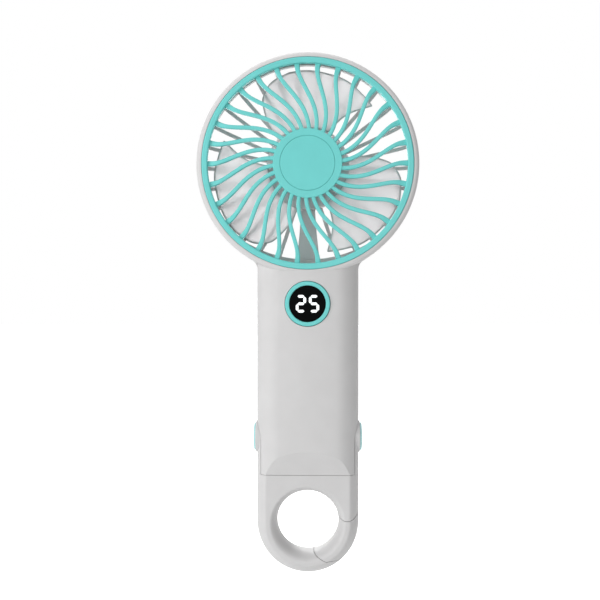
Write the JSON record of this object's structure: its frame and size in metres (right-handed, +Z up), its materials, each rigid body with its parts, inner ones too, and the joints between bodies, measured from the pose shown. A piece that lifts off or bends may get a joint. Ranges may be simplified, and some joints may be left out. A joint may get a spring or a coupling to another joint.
{
  "type": "hand-held fan",
  "caption": "Rechargeable hand-held fan with a round grilled head, straight handle, display button and a folding carabiner loop that serves as a stand.",
  "frame": {"origin": "centre of the loop's hole, at mid thickness of the loop plate", "axes": "+Z up the handle towards the head, -Y out of the front grille and display, +X towards the gate's side of the loop"},
  "size_m": [0.0892, 0.0235, 0.2096],
  "materials": {
    "casing": "satin",
    "teal": "satin",
    "pale_teal": "satin",
    "guard_grey": "satin",
    "blade_grey": "translucent satin",
    "window_black": "gloss",
    "digit_white": "lit",
    "motor_steel": "plated",
    "magnet": "dull",
    "bush_brass": "sintered",
    "rotor": "lacquered windings",
    "black_plastic": "matt",
    "board_green": "solder resist",
    "cell_wrap": "shrink wrap",
    "nickel": "bright",
    "pin_steel": "ground",
    "screw_steel": "zinc plated",
    "washer": "acetal",
    "spring_steel": "drawn"
  },
  "bodies": {
    "housing": {"front_shell": "casing", "rear_shell": "casing", "shell_screws": "screw_steel", "front_grille": "teal", "grille_badge": "teal", "rear_grille": "guard_grey", "motor_can": "motor_steel", "motor_base": "motor_steel", "motor_magnet": "magnet", "front_bearing": "bush_brass", "rear_bearing": "bush_brass", "motor_screws": "screw_steel", "tact_switch": "black_plastic", "main_board": "board_green", "board_components": "black_plastic", "board_screws": "screw_steel", "usb_socket": "motor_steel", "battery_cell": "cell_wrap", "battery_tabs": "nickel", "battery_cradle": "casing", "pivot_pin_left": "pin_steel", "pivot_pin_right": "pin_steel", "pivot_washer_left": "washer", "pivot_washer_right": "washer"},
    "impeller": {"impeller": "blade_grey", "motor_shaft": "pin_steel", "motor_rotor": "rotor"},
    "display_button": {"display_ring": "teal", "display_window": "window_black", "display_digits": "digit_white", "switch_plunger": "black_plastic"},
    "loop": {"loop_frame": "casing", "gate_pin": "pin_steel", "gate_spring": "spring_steel", "pivot_cap_left": "pale_teal", "pivot_cap_right": "pale_teal"},
    "gate": {"loop_gate": "casing"}
  },
  "joints": [
    {"name": "impeller_spin", "type": "hinge", "parent": "housing", "child": "impeller", "pos_m": [0, 0, 0.1444], "axis": [0, 1, 0], "continuous": true},
    {"name": "display_press", "type": "slide", "parent": "housing", "child": "display_button", "axis": [0, 1, 0], "range_m": [0, 0.0006], "stiffness_N_per_m": 900, "springref_m": -0.0008},
    {"name": "loop_fold", "type": "hinge", "parent": "housing", "child": "loop", "pos_m": [0, 0, 0.0341], "axis": [1, 0, 0], "range_deg": [0, 90]},
    {"name": "gate_open", "type": "hinge", "parent": "loop", "child": "gate", "pos_m": [0.0159, 0, 0.0061], "axis": [0, 1, 0], "range_deg": [0, 28], "stiffness_Nm_per_rad": 0.03, "springref_deg": -34.38, "deforming": ["gate_spring"]}
  ]
}
